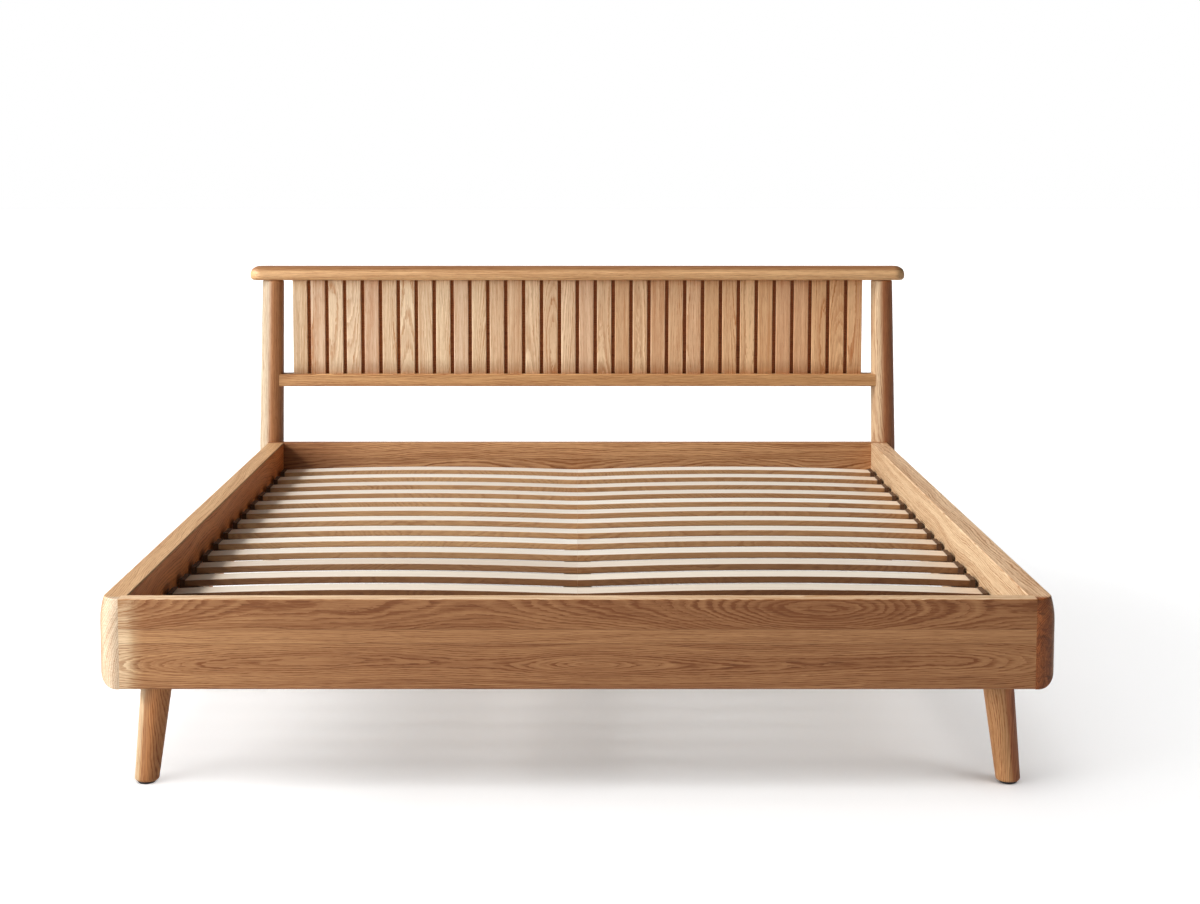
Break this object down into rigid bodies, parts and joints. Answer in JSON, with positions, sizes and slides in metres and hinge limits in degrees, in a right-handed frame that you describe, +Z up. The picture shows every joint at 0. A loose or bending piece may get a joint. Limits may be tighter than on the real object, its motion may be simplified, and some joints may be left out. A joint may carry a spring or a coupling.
{
  "type": "bed frame",
  "caption": "Oak bed frame with a slatted headboard on turned posts, soft-edged rails, splayed front legs, paired bowed slats in holders and a centre beam on levelling feet.",
  "frame": {"origin": "on the floor under the middle of the frame", "axes": "+X across the bed to the right seen from the foot end, +Y along the bed towards the headboard, +Z up"},
  "size_m": [2.0258, 2.1454, 0.9495],
  "materials": {
    "oak": "oiled oak, satin",
    "beech": "plain planed beech",
    "slat_birch": "laminated birch, clear lacquer",
    "black_plastic": "moulded black, fine grain",
    "pale_plastic": "natural nylon",
    "steel": "zinc plated"
  },
  "bodies": {
    "frame": {"headboard_top_rail": "oak", "headboard_lower_rail": "oak", "headboard_back_panel": "oak", "headboard_slats": "oak", "left_post": "oak", "right_post": "oak", "head_rail": "oak", "foot_rail": "oak", "left_side_rail": "oak", "right_side_rail": "oak", "left_front_leg": "oak", "right_front_leg": "oak", "left_ledger": "beech", "right_ledger": "beech", "centre_beam": "beech", "front_support_leg": "beech", "rear_support_leg": "beech", "left_corner_bracket": "steel", "right_corner_bracket": "steel", "foot_beam_hanger": "steel", "head_beam_hanger": "steel", "leg_hanger_bolts": "steel", "bed_bolts": "steel", "barrel_nuts": "steel", "lag_screws": "steel", "floor_glides": "black_plastic", "slat_holders": "black_plastic", "centre_slat_pads": "pale_plastic", "left_slat_01": "slat_birch", "right_slat_01": "slat_birch", "left_slat_02": "slat_birch", "right_slat_02": "slat_birch", "left_slat_03": "slat_birch", "right_slat_03": "slat_birch", "left_slat_04": "slat_birch", "right_slat_04": "slat_birch", "left_slat_05": "slat_birch", "right_slat_05": "slat_birch", "left_slat_06": "slat_birch", "right_slat_06": "slat_birch", "left_slat_07": "slat_birch", "right_slat_07": "slat_birch", "left_slat_08": "slat_birch", "right_slat_08": "slat_birch", "left_slat_09": "slat_birch", "right_slat_09": "slat_birch", "left_slat_10": "slat_birch", "right_slat_10": "slat_birch", "left_slat_11": "slat_birch", "right_slat_11": "slat_birch", "left_slat_12": "slat_birch", "right_slat_12": "slat_birch", "left_slat_13": "slat_birch", "right_slat_13": "slat_birch", "left_slat_14": "slat_birch", "right_slat_14": "slat_birch", "left_slat_15": "slat_birch", "right_slat_15": "slat_birch"},
    "front_foot": {"front_levelling_foot": "black_plastic"},
    "rear_foot": {"rear_levelling_foot": "black_plastic"}
  },
  "joints": [
    {"name": "front_foot_height", "type": "slide", "parent": "frame", "child": "front_foot", "axis": [0, 0, 1], "range_m": [-0.012, 0.0075]},
    {"name": "rear_foot_height", "type": "slide", "parent": "frame", "child": "rear_foot", "axis": [0, 0, 1], "range_m": [-0.012, 0.0075]}
  ]
}
